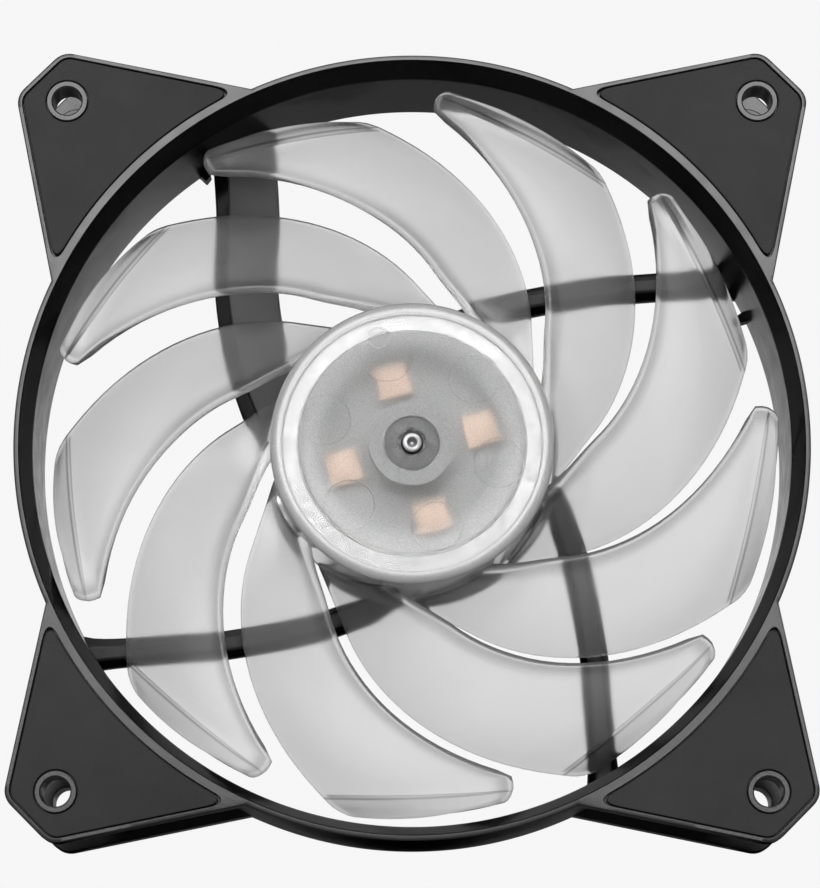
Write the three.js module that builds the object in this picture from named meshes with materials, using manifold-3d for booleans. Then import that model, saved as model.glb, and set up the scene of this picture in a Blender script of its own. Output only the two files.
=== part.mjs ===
// A 120 mm computer case fan, standing upright: +Z is up, the intake side faces -Y.
// Every piece is drawn in the fan's own axes (x right, y up, z out of the intake side)
// and the whole assembly is turned upright at the end. Lengths are millimetres.
import * as THREE from 'three';
import { mergeVertices } from 'three/addons/utils/BufferGeometryUtils.js';
import Module from 'manifold-3d';

const wasm = await Module();
wasm.setup();

// Frame
const HALF_WIDTH = 60;
const HALF_DEPTH = 12.5;
const HOLE_PITCH = 105;
const HOLE_RADIUS = 2.2;
const RING_RADIUS = 59.7;
const BORE_RADIUS = 57.3;
const RIM_RADIUS = 58.85;
const BEVEL_DEPTH = 5;
const FLANGE_THICKNESS = 4;
const CORNER_X = 53.3;
const CORNER_REACH = 0.28; // the rounded corner points stop this far short of the sharp ones
const EAR_SLOPE = THREE.MathUtils.degToRad(11.5);
const BOSS_RADIUS = 4;
const BOSS_HEIGHT = 2;
const EAR_CORNER_ROUND = 1.8;
const REAR_FLARE = 0.6; // depth and width of the chamfer at the outlet end of the bore

// Corner pads and the pockets they sit in
const POCKET_DEPTH = 1.5;
const POCKET_INSET = 0.75;
const POCKET_ARC = 60.2;
const ISLAND_RADIUS = 3.1;
const POCKET_TIP_ROUND = 3.6;
const POCKET_CORNER_ROUND = 1.4;
const PAD_GAP = 0.15;
const PAD_BELOW_FACE = 0.05;

// Struts and motor base
const STRUT_COUNT = 4;
const TOOTH_ANGLES = [125, 24.5];
const TOOTH_LENGTH = 3.5;
const TOOTH_WIDTH = 2;
const TOOTH_HEIGHT = 3;
const BASE_RADIUS = 21.2;
const BASE_FLOOR = 3;
const BASE_RIM_TOP = -8;
const BASE_WALL = 1.2;
const WIRE_NOTCH_WIDTH = 5;
const WIRE_NOTCH_ANGLE = -2;
const LABEL_RADIUS = 18.5;
const LABEL_RECESS = 0.6;
const LABEL_THICKNESS = 0.3;

// Impeller
const BLADES = 9;
const HUB_RADIUS = 21.4;
const HUB_INNER = 20.1;
const HUB_FRONT = 11.7;
const HUB_WALL = 1.5;
const HUB_REAR = -7;
const HUB_BOSS = 5.4;
const BOSS_BORE = 4.2;
const HUB_EDGE = 1.3;
const SHAFT_WINDOW = 2.1;
const HUB_BOSS_REAR = 5;
const BLADE_TIP = 55.3;
const BLADE_ROOT = 20.6;
const TIP_START = 52.3;
const TIP_ROUND = 2.6;
const TRAILING_ROUND_START = 54;
const FOLD_RADIUS = 52.9; // the tip bends back outside this straight line
const FOLD_ANGLE = 113.5;
const FOLD_SLOPE = 0.5;
const BLADE_REAR = -7.1;
const ROOT_HEIGHT = 5.5;
const TIP_HEIGHT = 9.1;
const RISE_START = 36;
const RISE_END = 53;
const ROOT_BEND_RADIUS = 28;
const CAMBER = 0.22;
const TRAILING_THICKNESS = 0.9;
const EXTRA_THICKNESS = 0.9; // added towards the leading edge

// Rotor pieces on the shaft axis
const SHAFT_RADIUS = 1.5;
const SHAFT_FRONT = 10.9;
const SHAFT_REAR = -8.7;
const YOKE_OUTER = 19.8;
const YOKE_INNER = 18.9;
const MAGNET_OUTER = 18.6;
const MAGNET_INNER = 17.3;
const YOKE_FRONT = 9.9;
const YOKE_REAR = -6.5;
const YOKE_LIP = 17.2;
const YOKE_LIP_THICKNESS = 0.8;
const CLIP_REAR = -8.35;
const CLIP_THICKNESS = 0.3;
const CLIP_OUTER = 2.4;
const CLIP_OPENING = 24;

// Motor and light pieces that stand still
const STATOR_RADIUS = 16.6;
const POLES = 4;
const POLE_PHASE = 61;
const LED_PHASE = 16;
const LED_RADIUS = 10.8;
const LED_SIZE = 5;
const LED_BOARD_Z = 3.1;
const LED_BOARD_THICKNESS = 1;
const DRIVER_BOARD_Z = -8.6;
const DRIVER_BOARD_THICKNESS = 1;
const CORE_REAR = -4;
const CORE_FRONT = 0;
const INSULATOR_THICKNESS = 0.7;
const INSULATOR_GAP = 0.3;
const POST_RADIUS = 9.4;
const COIL_RADIUS = 10.1;

const RING_ROUND = 96;
const ROUND = 72;
const MIDDLE_ROUND = 48;
const SMALL_ROUND = 24;
const HOLE_ROUND = 20;
const SLIP = 0.05;

const fan = new THREE.Group();
fan.rotation.x = Math.PI / 2;

const finishes = {
  frame: { color: 0x2b2b2c, roughness: 0.42, metalness: 0 },
  pad: { color: 0x1d1d1e, roughness: 0.85, metalness: 0 },
  clear: { color: 0xd4d6d8, roughness: 0.3, metalness: 0 },
  steel: { color: 0xc9cbcd, roughness: 0.22, metalness: 1 },
  brass: { color: 0x9d8a5c, roughness: 0.35, metalness: 1 },
  bronze: { color: 0x8a6a45, roughness: 0.5, metalness: 1 },
  ferrite: { color: 0x2a2a2b, roughness: 0.7, metalness: 0.1 },
  laminate: { color: 0x8d9094, roughness: 0.45, metalness: 1 },
  insulator: { color: 0xe6e3da, roughness: 0.55, metalness: 0 },
  copper: { color: 0xa85a2a, roughness: 0.35, metalness: 1 },
  board: { color: 0xd9dad8, roughness: 0.5, metalness: 0 },
  chip: { color: 0x161617, roughness: 0.5, metalness: 0 },
  led: { color: 0xf0c3a4, roughness: 0.35, metalness: 0 },
  label: { color: 0x3a3b3d, roughness: 0.6, metalness: 0 },
};

function addPiece(name, geometry, finish) {
  const mesh = new THREE.Mesh(geometry, new THREE.MeshStandardMaterial(finishes[finish]));
  mesh.name = name;
  fan.add(mesh);
  return mesh;
}

// Booleans ------------------------------------------------------------------

function toSolid(geometry) {
  const bare = geometry.clone();
  bare.deleteAttribute('normal');
  bare.deleteAttribute('uv');
  const merged = mergeVertices(bare, 1e-4);
  return new wasm.Manifold(new wasm.Mesh({
    numProp: 3,
    vertProperties: new Float32Array(merged.attributes.position.array),
    triVerts: new Uint32Array(merged.index.array),
  }));
}

function toGeometry(solid) {
  const mesh = solid.getMesh();
  const geometry = new THREE.BufferGeometry();
  geometry.setAttribute('position', new THREE.BufferAttribute(mesh.vertProperties, 3));
  geometry.setIndex(new THREE.BufferAttribute(mesh.triVerts, 1));
  geometry.computeVertexNormals();
  return geometry;
}

function joinAll(solids) {
  return solids.reduce((whole, solid) => whole.add(solid));
}

// Basic shapes ----------------------------------------------------------------

const degrees = THREE.MathUtils.degToRad;

function turned(profile, segments = ROUND) {
  const points = profile.map(([radius, z]) => new THREE.Vector2(radius, z));
  return new THREE.LatheGeometry(points, segments).rotateX(Math.PI / 2);
}

function ringProfile(inner, outer, z0, z1) {
  return [[outer, z0], [outer, z1], [inner, z1], [inner, z0], [outer, z0]];
}

function tube(inner, outer, z0, z1, segments = ROUND) {
  return turned(ringProfile(inner, outer, z0, z1), segments);
}

function disc(radius, z0, z1, segments = ROUND) {
  return turned([[0, z0], [radius, z0], [radius, z1], [0, z1]], segments);
}

function slab(shape, z0, z1, curveSegments = 8) {
  const options = { depth: z1 - z0, bevelEnabled: false, curveSegments };
  return new THREE.ExtrudeGeometry(shape, options).translate(0, 0, z0);
}

function circlePath(x, y, radius) {
  return new THREE.Path().absarc(x, y, radius, 0, Math.PI * 2, false);
}

function box(width, height, z0, z1, x = 0, y = 0) {
  return new THREE.BoxGeometry(width, height, z1 - z0).translate(x, y, (z0 + z1) / 2);
}

// Frame -----------------------------------------------------------------------

// Where the sloping edge of a corner ear, moved in by inset, meets a circle about the axis.
function edgeMeetsCircle(inset, radius) {
  const slope = Math.tan(EAR_SLOPE);
  const height = HALF_WIDTH + CORNER_REACH - CORNER_X * slope - inset / Math.cos(EAR_SLOPE);
  const spread = 1 + slope * slope;
  const x = (-slope * height + Math.sqrt(radius * radius * spread - height * height)) / spread;
  return new THREE.Vector2(x, height + slope * x);
}

// The outline of one corner ear, or of the pocket and pad inside it.
function cornerShape(inset, arcRadius, tipRound, cornerRound) {
  const tip = edgeMeetsCircle(inset, arcRadius);
  const corner = new THREE.Vector2(CORNER_X, HALF_WIDTH + CORNER_REACH);
  corner.y -= inset / Math.cos(EAR_SLOPE);
  corner.x -= inset * Math.tan(Math.PI / 8);
  const mirror = (point) => new THREE.Vector2(point.y, point.x);
  const along = (from, to, distance) => to.clone().sub(from).setLength(distance).add(from);
  const arcEnd = tip.angle() - tipRound / arcRadius;
  const arcStart = mirror(tip).angle() + tipRound / arcRadius;
  const shape = new THREE.Shape();
  const start = along(tip, corner, tipRound);
  const farSide = mirror(corner);
  const before = along(corner, tip, cornerRound);
  const after = along(corner, farSide, cornerRound);
  shape.moveTo(start.x, start.y);
  shape.lineTo(before.x, before.y);
  shape.quadraticCurveTo(corner.x, corner.y, after.x, after.y);
  shape.lineTo(after.y, after.x);
  shape.quadraticCurveTo(farSide.x, farSide.y, before.y, before.x);
  shape.lineTo(start.y, start.x);
  if (tipRound > 0) {
    const landing = new THREE.Vector2(arcRadius, 0).rotateAround(new THREE.Vector2(), arcStart);
    shape.quadraticCurveTo(tip.y, tip.x, landing.x, landing.y);
  }
  const steps = 6;
  for (let step = 1; step < steps; step += 1) {
    const angle = THREE.MathUtils.lerp(arcStart, arcEnd, step / steps);
    shape.lineTo(arcRadius * Math.cos(angle), arcRadius * Math.sin(angle));
  }
  if (tipRound > 0) {
    shape.lineTo(arcRadius * Math.cos(arcEnd), arcRadius * Math.sin(arcEnd));
    shape.quadraticCurveTo(tip.x, tip.y, start.x, start.y);
  }
  return shape;
}

function pocketShape(inset, arcRadius, islandRadius) {
  const shape = cornerShape(inset, arcRadius, POCKET_TIP_ROUND, POCKET_CORNER_ROUND);
  shape.holes.push(circlePath(HOLE_PITCH / 2, HOLE_PITCH / 2, islandRadius));
  return shape;
}

// The front and rear of one corner, as the solids to add to and cut from the frame.
function cornerSolids(quarter) {
  const inner = HALF_DEPTH - FLANGE_THICKNESS;
  const ear = cornerShape(0, RIM_RADIUS + 0.3, 0, EAR_CORNER_ROUND);
  const pocket = pocketShape(POCKET_INSET, POCKET_ARC, ISLAND_RADIUS);
  const centre = HOLE_PITCH / 2;
  const place = (geometry) => toSolid(geometry.rotateZ(quarter * Math.PI / 2));
  const post = (radius, z0, z1) => place(disc(radius, z0, z1, HOLE_ROUND).translate(centre, centre, 0));
  return {
    add: [
      place(slab(ear, inner, HALF_DEPTH, 4)),
      place(slab(ear, -HALF_DEPTH, -inner, 4)),
      post(BOSS_RADIUS, inner - BOSS_HEIGHT, inner + 0.5),
      post(BOSS_RADIUS, -inner - 0.5, -inner + BOSS_HEIGHT),
    ],
    cut: [
      place(slab(pocket, HALF_DEPTH - POCKET_DEPTH, HALF_DEPTH + 1, 5)),
      place(slab(pocket, -HALF_DEPTH - 1, POCKET_DEPTH - HALF_DEPTH, 5)),
      post(HOLE_RADIUS, -HALF_DEPTH - 1, HALF_DEPTH + 1),
    ],
  };
}

// A strut swept along a curved line; section points are [sideways, height above the rear face].
function sweptStrut(points, section, turn) {
  const curve = new THREE.CatmullRomCurve3(points.map(([radius, angle]) => new THREE.Vector3(
    radius * Math.cos(degrees(angle)),
    radius * Math.sin(degrees(angle)),
    -HALF_DEPTH,
  )));
  const shape = new THREE.Shape(section.map(([side, height]) => new THREE.Vector2(-height, side)));
  const options = { steps: 10, extrudePath: curve, bevelEnabled: false };
  return toSolid(new THREE.ExtrudeGeometry(shape, options).rotateZ(turn));
}

const ridgeSection = [[-2.2, 0], [2.2, 0], [2.2, 2], [0.9, 3.4], [-0.9, 3.4], [-2.2, 2]];
const cableSection = [[-5, 0], [5, 0], [5, 3.4], [-2.8, 3.4], [-2.8, 1.3], [-5, 1.3]];

// Lines of the struts, as [radius, angle] from the ring inwards.
const narrowLine = [[58.6, 120.3], [45.9, 128.4], [39.5, 134.8], [28.7, 150.8], [20, 175]];
const cableLine = [[60, 116.5], [47.6, 123], [38.6, 132.5], [29, 146], [19, 171]];

function buildStruts() {
  const struts = [sweptStrut(cableLine, cableSection, 0)];
  for (let index = 1; index < STRUT_COUNT; index += 1) {
    struts.push(sweptStrut(narrowLine, ridgeSection, -index * Math.PI / 2));
  }
  const reach = toSolid(disc(RING_RADIUS - 0.6, -HALF_DEPTH, HALF_DEPTH));
  return struts.map((strut) => strut.intersect(reach));
}

// Small teeth on the bore wall beside the cable strut and the strut after it.
function buildTeeth() {
  const high = TOOTH_HEIGHT - HALF_DEPTH;
  return TOOTH_ANGLES.map((angle) => toSolid(
    box(TOOTH_LENGTH, TOOTH_WIDTH, -HALF_DEPTH, high, BORE_RADIUS, 0).rotateZ(degrees(angle)),
  ));
}

function buildMotorBase() {
  const floor = BASE_FLOOR - HALF_DEPTH;
  const cup = toSolid(disc(BASE_RADIUS, -HALF_DEPTH, BASE_RIM_TOP, MIDDLE_ROUND));
  const hollow = toSolid(disc(BASE_RADIUS - BASE_WALL, floor, 0, MIDDLE_ROUND));
  const recess = toSolid(disc(LABEL_RADIUS + 0.3, -HALF_DEPTH - 1, LABEL_RECESS - HALF_DEPTH));
  const notch = box(BASE_WALL * 5, WIRE_NOTCH_WIDTH, floor, 0, -BASE_RADIUS, 0);
  const wireNotch = toSolid(notch.rotateZ(degrees(WIRE_NOTCH_ANGLE)));
  return cup.subtract(hollow).subtract(recess).subtract(wireNotch);
}

function buildFrame() {
  const ring = toSolid(disc(RING_RADIUS, -HALF_DEPTH, HALF_DEPTH, RING_ROUND));
  const bore = toSolid(turned([
    [0, -HALF_DEPTH - 1],
    [BORE_RADIUS + REAR_FLARE + 1, -HALF_DEPTH - 1],
    [BORE_RADIUS, REAR_FLARE - HALF_DEPTH],
    [BORE_RADIUS, HALF_DEPTH - BEVEL_DEPTH],
    [RIM_RADIUS, HALF_DEPTH],
    [RIM_RADIUS + 0.31, HALF_DEPTH + 1],
    [0, HALF_DEPTH + 1],
  ], RING_ROUND));
  const corners = [0, 1, 2, 3].map(cornerSolids);
  const shell = joinAll([ring, ...corners.flatMap((corner) => corner.add)]).subtract(bore);
  const inside = toSolid(disc(BASE_RADIUS - 0.6, -HALF_DEPTH - 1, 0));
  const struts = joinAll(buildStruts()).subtract(inside);
  const body = joinAll([shell, struts, buildMotorBase(), ...buildTeeth()]);
  const cuts = joinAll(corners.flatMap((corner) => corner.cut));
  return toGeometry(body.subtract(cuts));
}

function buildPad(front, quarter) {
  const shape = pocketShape(POCKET_INSET + PAD_GAP, POCKET_ARC + PAD_GAP, ISLAND_RADIUS + PAD_GAP);
  const low = HALF_DEPTH - POCKET_DEPTH + PAD_GAP;
  const high = HALF_DEPTH - PAD_BELOW_FACE;
  const geometry = front ? slab(shape, low, high, 5) : slab(shape, -high, -low, 5);
  return geometry.rotateZ(quarter * Math.PI / 2);
}

// Impeller --------------------------------------------------------------------

// How far the blade has swept back near the hub: 0 outside the bend radius, 1 at the hub.
function rootBend(radius) {
  return Math.max(0, (ROOT_BEND_RADIUS - radius) / (ROOT_BEND_RADIUS - HUB_RADIUS)) ** 2;
}

function leadingAngle(radius) {
  const past = Math.min(1, Math.max(0, (radius - TIP_START) / (BLADE_TIP - TIP_START)));
  const setback = TIP_ROUND * (1 - Math.sqrt(1 - (past * 0.98) ** 2)) / radius;
  const straight = 101.2 + 1.835 * (Math.min(radius, TIP_START - 0.5) - 38);
  return straight - 10 * rootBend(radius) - THREE.MathUtils.radToDeg(setback);
}

function trailingAngle(radius) {
  const past = Math.max(0, radius - TRAILING_ROUND_START);
  return 66.9 + 1.83 * (radius - 38) - 6 * rootBend(radius) + 1.3 * past * past;
}

// The leading edge rises from the hub out to the tip.
function leadingHeight(radius) {
  const rise = THREE.MathUtils.smoothstep(radius, RISE_START, RISE_END);
  return THREE.MathUtils.lerp(ROOT_HEIGHT, TIP_HEIGHT, rise);
}

// Middle surface of a blade: chord runs from 0 at the leading edge to 1 at the trailing edge.
function bladePoint(radius, chord) {
  const angle = degrees(THREE.MathUtils.lerp(leadingAngle(radius), trailingAngle(radius), chord));
  const along = chord + CAMBER * chord * (chord - 1);
  const height = THREE.MathUtils.lerp(leadingHeight(radius), BLADE_REAR, along);
  const beyond = Math.max(0, radius * Math.cos(angle - degrees(FOLD_ANGLE)) - FOLD_RADIUS);
  const x = radius * Math.cos(angle);
  const y = radius * Math.sin(angle);
  return new THREE.Vector3(x, y, height - FOLD_SLOPE * beyond);
}

function bladeThickness(chord) {
  return TRAILING_THICKNESS + EXTRA_THICKNESS * (1 - chord) * Math.sqrt(Math.min(1, chord * 6 + 0.35));
}

function bladeNormal(radius, chord) {
  const step = 0.01;
  const outwards = bladePoint(radius + step, chord).sub(bladePoint(radius - step, chord));
  const backwards = bladePoint(radius, chord + step).sub(bladePoint(radius, chord - step));
  return backwards.cross(outwards).normalize();
}

const bladeRadii = [BLADE_ROOT, 23, 26, 30, 36, 42, 48, TIP_START, 53.6, 54.6, 55.1, BLADE_TIP];
const bladeChords = [0, 0.07, 0.22, 0.42, 0.64, 0.84, 1];

// A closed skin over a grid: the intake side, the outlet side and the edges between them.
function bladeGeometry() {
  const columns = bladeChords.length;
  const rows = bladeRadii.length;
  const positions = [];
  for (const side of [0.5, -0.5]) {
    for (const radius of bladeRadii) {
      const inward = Math.min(radius, BLADE_TIP - 0.02);
      for (const chord of bladeChords) {
        const offset = bladeNormal(inward, chord).multiplyScalar(side * bladeThickness(chord));
        positions.push(...bladePoint(radius, chord).add(offset).toArray());
      }
    }
  }
  const front = (row, column) => row * columns + column;
  const back = (row, column) => rows * columns + front(row, column);
  const index = [];
  const quad = (a, b, c, d) => index.push(a, b, c, a, c, d);
  const last = columns - 1;
  const end = rows - 1;
  for (let row = 0; row < end; row += 1) {
    const next = row + 1;
    for (let column = 0; column < last; column += 1) {
      const beside = column + 1;
      quad(front(row, column), front(row, beside), front(next, beside), front(next, column));
      quad(back(row, column), back(next, column), back(next, beside), back(row, beside));
    }
    quad(front(row, 0), front(next, 0), back(next, 0), back(row, 0));
    quad(front(next, last), front(row, last), back(row, last), back(next, last));
  }
  for (let column = 0; column < last; column += 1) {
    const beside = column + 1;
    quad(front(0, beside), front(0, column), back(0, column), back(0, beside));
    quad(front(end, column), front(end, beside), back(end, beside), back(end, column));
  }
  const geometry = new THREE.BufferGeometry();
  geometry.setAttribute('position', new THREE.Float32BufferAttribute(positions, 3));
  geometry.setIndex(index);
  return geometry;
}

function buildHubCup() {
  const inside = HUB_FRONT - HUB_WALL;
  return toSolid(turned([
    [HUB_RADIUS, HUB_REAR],
    [HUB_RADIUS, HUB_FRONT - HUB_EDGE],
    [HUB_RADIUS - HUB_EDGE * 0.3, HUB_FRONT - HUB_EDGE * 0.3],
    [HUB_RADIUS - HUB_EDGE, HUB_FRONT],
    [SHAFT_WINDOW, HUB_FRONT],
    [SHAFT_WINDOW, inside],
    [BOSS_BORE, inside],
    [BOSS_BORE, HUB_BOSS_REAR],
    [HUB_BOSS, HUB_BOSS_REAR],
    [HUB_BOSS, inside],
    [HUB_INNER, inside],
    [HUB_INNER, HUB_REAR],
    [HUB_RADIUS, HUB_REAR],
  ]));
}

function buildImpeller() {
  const core = toSolid(disc(HUB_INNER + 0.4, -HALF_DEPTH, HALF_DEPTH));
  const blade = toSolid(bladeGeometry()).subtract(core);
  const blades = [];
  for (let index = 0; index < BLADES; index += 1) {
    blades.push(blade.rotate([0, 0, index * 360 / BLADES]));
  }
  return toGeometry(joinAll([buildHubCup(), ...blades]));
}

// Rotor pieces ------------------------------------------------------------------

function buildShaft() {
  const groove = SHAFT_RADIUS - 0.35;
  const grooveRear = CLIP_REAR - 0.1;
  const grooveFront = CLIP_REAR + CLIP_THICKNESS + 0.1;
  const chamfer = 0.2;
  return turned([
    [0, SHAFT_REAR],
    [SHAFT_RADIUS - chamfer, SHAFT_REAR],
    [SHAFT_RADIUS, SHAFT_REAR + chamfer],
    [SHAFT_RADIUS, grooveRear],
    [groove, grooveRear],
    [groove, grooveFront],
    [SHAFT_RADIUS, grooveFront],
    [SHAFT_RADIUS, SHAFT_FRONT - chamfer],
    [SHAFT_RADIUS - chamfer, SHAFT_FRONT],
    [0, SHAFT_FRONT],
  ], SMALL_ROUND);
}

function buildYoke() {
  return turned([
    [YOKE_OUTER, YOKE_REAR],
    [YOKE_OUTER, YOKE_FRONT - 0.4],
    [YOKE_OUTER - 0.4, YOKE_FRONT],
    [YOKE_LIP, YOKE_FRONT],
    [YOKE_LIP, YOKE_FRONT - YOKE_LIP_THICKNESS],
    [YOKE_INNER, YOKE_FRONT - YOKE_LIP_THICKNESS],
    [YOKE_INNER, YOKE_REAR],
    [YOKE_OUTER, YOKE_REAR],
  ]);
}

// An open ring: a washer with a gap, snapped into the shaft groove.
function buildRetainingClip() {
  const shape = new THREE.Shape();
  const opening = degrees(CLIP_OPENING);
  shape.absarc(0, 0, CLIP_OUTER, opening, Math.PI * 2 - opening, false);
  shape.absarc(0, 0, SHAFT_RADIUS - 0.25, Math.PI * 2 - opening, opening, true);
  return slab(shape, CLIP_REAR, CLIP_REAR + CLIP_THICKNESS, 14);
}

// Motor pieces that stand still ---------------------------------------------------

function poleShape() {
  const armWidth = 3.2;
  const shoe = degrees(36);
  const shoeInner = STATOR_RADIUS - 1.6;
  const inner = new THREE.Vector2(0, armWidth / 2);
  const shape = new THREE.Shape();
  shape.moveTo(5, -inner.y);
  shape.lineTo(shoeInner - 0.6, -inner.y);
  shape.lineTo(shoeInner * Math.cos(shoe), -shoeInner * Math.sin(shoe));
  shape.absarc(0, 0, STATOR_RADIUS, -shoe, shoe, false);
  shape.lineTo(shoeInner * Math.cos(shoe), shoeInner * Math.sin(shoe));
  shape.lineTo(shoeInner - 0.6, inner.y);
  shape.lineTo(5, inner.y);
  shape.closePath();
  return shape;
}

function starSolid(z0, z1, outer) {
  const hub = toSolid(tube(4.7, 6.4, z0, z1, SMALL_ROUND));
  const limit = toSolid(disc(outer, z0, z1, MIDDLE_ROUND));
  const poles = [];
  for (let index = 0; index < POLES; index += 1) {
    const turn = degrees(POLE_PHASE + index * 360 / POLES);
    poles.push(toSolid(slab(poleShape(), z0, z1, 6).rotateZ(turn)));
  }
  return joinAll([hub, ...poles]).intersect(limit);
}

function buildFrontInsulator() {
  const low = CORE_FRONT + INSULATOR_GAP;
  const high = low + INSULATOR_THICKNESS;
  const plate = starSolid(low, high, STATOR_RADIUS - 0.3);
  const posts = [];
  const width = 1.4;
  const reach = 5;
  for (let index = 0; index < POLES; index += 1) {
    const turn = degrees(POLE_PHASE + 45 + index * 360 / POLES);
    const arm = box(reach, width, low, high, POST_RADIUS + (width - reach) / 2, 0);
    const post = box(width, width, low, LED_BOARD_Z - 0.1, POST_RADIUS, 0);
    posts.push(toSolid(arm.rotateZ(turn)), toSolid(post.rotateZ(turn)));
  }
  return toGeometry(joinAll([plate, ...posts]));
}

function buildRearInsulator() {
  const high = CORE_REAR - INSULATOR_GAP;
  const low = high - INSULATOR_THICKNESS;
  const boardTop = DRIVER_BOARD_Z + DRIVER_BOARD_THICKNESS;
  const plate = starSolid(low, high, STATOR_RADIUS - 0.3);
  const collar = toSolid(tube(4.7, 6, boardTop + 0.1, high - 0.3, SMALL_ROUND));
  return toGeometry(plate.add(collar));
}

function buildCoil(index) {
  const bobbin = toSolid(box(5.4, 9, CORE_REAR - 2.6, CORE_FRONT + 2.6, COIL_RADIUS, 0));
  const window = toSolid(box(8, 3.9, CORE_REAR - 1.3, CORE_FRONT + 1.3, COIL_RADIUS, 0));
  return toGeometry(bobbin.subtract(window)).rotateZ(degrees(POLE_PHASE + index * 360 / POLES));
}

function buildDriverBoard() {
  const low = DRIVER_BOARD_Z;
  const board = toSolid(tube(4.8, 17.5, low, low + DRIVER_BOARD_THICKNESS, MIDDLE_ROUND));
  const flat = toSolid(box(10, 40, low - 1, low + 2, 20.5, 0));
  return toGeometry(board.subtract(flat));
}

function buildSensor() {
  const low = DRIVER_BOARD_Z + DRIVER_BOARD_THICKNESS + 0.1;
  return box(3, 4, low, low + 1, 12.6, 0).rotateZ(degrees(POLE_PHASE + 45));
}

function buildLed(index) {
  const low = LED_BOARD_Z + LED_BOARD_THICKNESS + 0.1;
  return box(LED_SIZE, LED_SIZE, low, low + 1.5, LED_RADIUS, 0)
    .rotateZ(degrees(LED_PHASE + index * 90));
}

// Assembly ------------------------------------------------------------------------

const cornerNames = ['top_right', 'top_left', 'bottom_left', 'bottom_right'];

addPiece('frame', buildFrame(), 'frame');
cornerNames.forEach((corner, quarter) => {
  addPiece(`front_pad_${corner}`, buildPad(true, quarter), 'pad');
  addPiece(`rear_pad_${corner}`, buildPad(false, quarter), 'pad');
});
const labelLow = LABEL_RECESS - HALF_DEPTH - 0.1 - LABEL_THICKNESS;
addPiece('rear_label', disc(LABEL_RADIUS, labelLow, labelLow + LABEL_THICKNESS, MIDDLE_ROUND), 'label');
addPiece('bearing_tube', tube(3.1, 4.4, -9.4, 2.6, SMALL_ROUND), 'brass');
addPiece('sleeve_bearing', tube(SHAFT_RADIUS + SLIP, 2.9, -7.6, 1.6, SMALL_ROUND), 'bronze');
addPiece('thrust_pad', disc(2.7, -9.3, -8.8, SMALL_ROUND), 'insulator');
addPiece('stator_core', toGeometry(starSolid(CORE_REAR, CORE_FRONT, STATOR_RADIUS)), 'laminate');
addPiece('front_insulator', buildFrontInsulator(), 'insulator');
addPiece('rear_insulator', buildRearInsulator(), 'insulator');
for (let index = 0; index < POLES; index += 1) {
  addPiece(`coil_${index + 1}`, buildCoil(index), 'copper');
}
addPiece('driver_board', buildDriverBoard(), 'board');
addPiece('rotation_sensor', buildSensor(), 'chip');
const ledBoardTop = LED_BOARD_Z + LED_BOARD_THICKNESS;
addPiece('led_board', tube(6.2, 16.4, LED_BOARD_Z, ledBoardTop, MIDDLE_ROUND), 'board');
for (let index = 0; index < POLES; index += 1) {
  addPiece(`led_${index + 1}`, buildLed(index), 'led');
}

addPiece('impeller', buildImpeller(), 'clear');
addPiece('shaft', buildShaft(), 'steel');
addPiece('shaft_bushing', tube(SHAFT_RADIUS + SLIP, 3.9, 4.6, 9.9, SMALL_ROUND), 'brass');
addPiece('yoke_ring', buildYoke(), 'steel');
addPiece('magnet_ring', tube(MAGNET_INNER, MAGNET_OUTER, -6, 3.5, MIDDLE_ROUND), 'ferrite');
addPiece('oil_slinger', tube(SHAFT_RADIUS + SLIP, 2.7, 1.9, 2.3, SMALL_ROUND), 'insulator');
addPiece('retaining_clip', buildRetainingClip(), 'steel');

export default fan;
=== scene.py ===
"""Looks for the case fan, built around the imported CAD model.

Pieces are drawn in the fan's own axes in millimetres (x right, y up, z out of the intake side)
and turned upright by upright(), which gives metres in the frame that the CAD model uses.
"""
import math

import bmesh
import bpy
import numpy as np
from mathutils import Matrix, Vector


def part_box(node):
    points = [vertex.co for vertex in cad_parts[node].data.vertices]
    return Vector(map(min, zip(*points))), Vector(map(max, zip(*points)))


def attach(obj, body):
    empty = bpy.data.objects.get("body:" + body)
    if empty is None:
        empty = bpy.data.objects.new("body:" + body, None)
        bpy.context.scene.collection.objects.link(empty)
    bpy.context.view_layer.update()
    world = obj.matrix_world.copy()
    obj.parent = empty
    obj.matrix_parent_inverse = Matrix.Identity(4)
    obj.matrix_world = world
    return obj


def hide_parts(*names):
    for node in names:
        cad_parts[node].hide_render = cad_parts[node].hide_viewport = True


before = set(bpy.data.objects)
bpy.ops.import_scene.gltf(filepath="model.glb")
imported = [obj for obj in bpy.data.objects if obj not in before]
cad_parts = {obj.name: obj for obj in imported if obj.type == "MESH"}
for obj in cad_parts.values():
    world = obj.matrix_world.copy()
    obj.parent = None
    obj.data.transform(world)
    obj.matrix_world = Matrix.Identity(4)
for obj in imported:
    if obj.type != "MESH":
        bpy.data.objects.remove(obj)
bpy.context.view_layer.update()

MM = 0.001
AXIS = 0.001  # radius of a profile's points on the axis


def size_mm(node):
    """Lowest and highest corners of a CAD node in millimetres."""
    low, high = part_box(node)
    return low / MM, high / MM


def front_of(node):
    """Height of a node's intake side along the fan's axis."""
    return -size_mm(node)[0].y


def rear_of(node):
    return -size_mm(node)[1].y


def radius_of(node):
    return size_mm(node)[1].x


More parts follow.
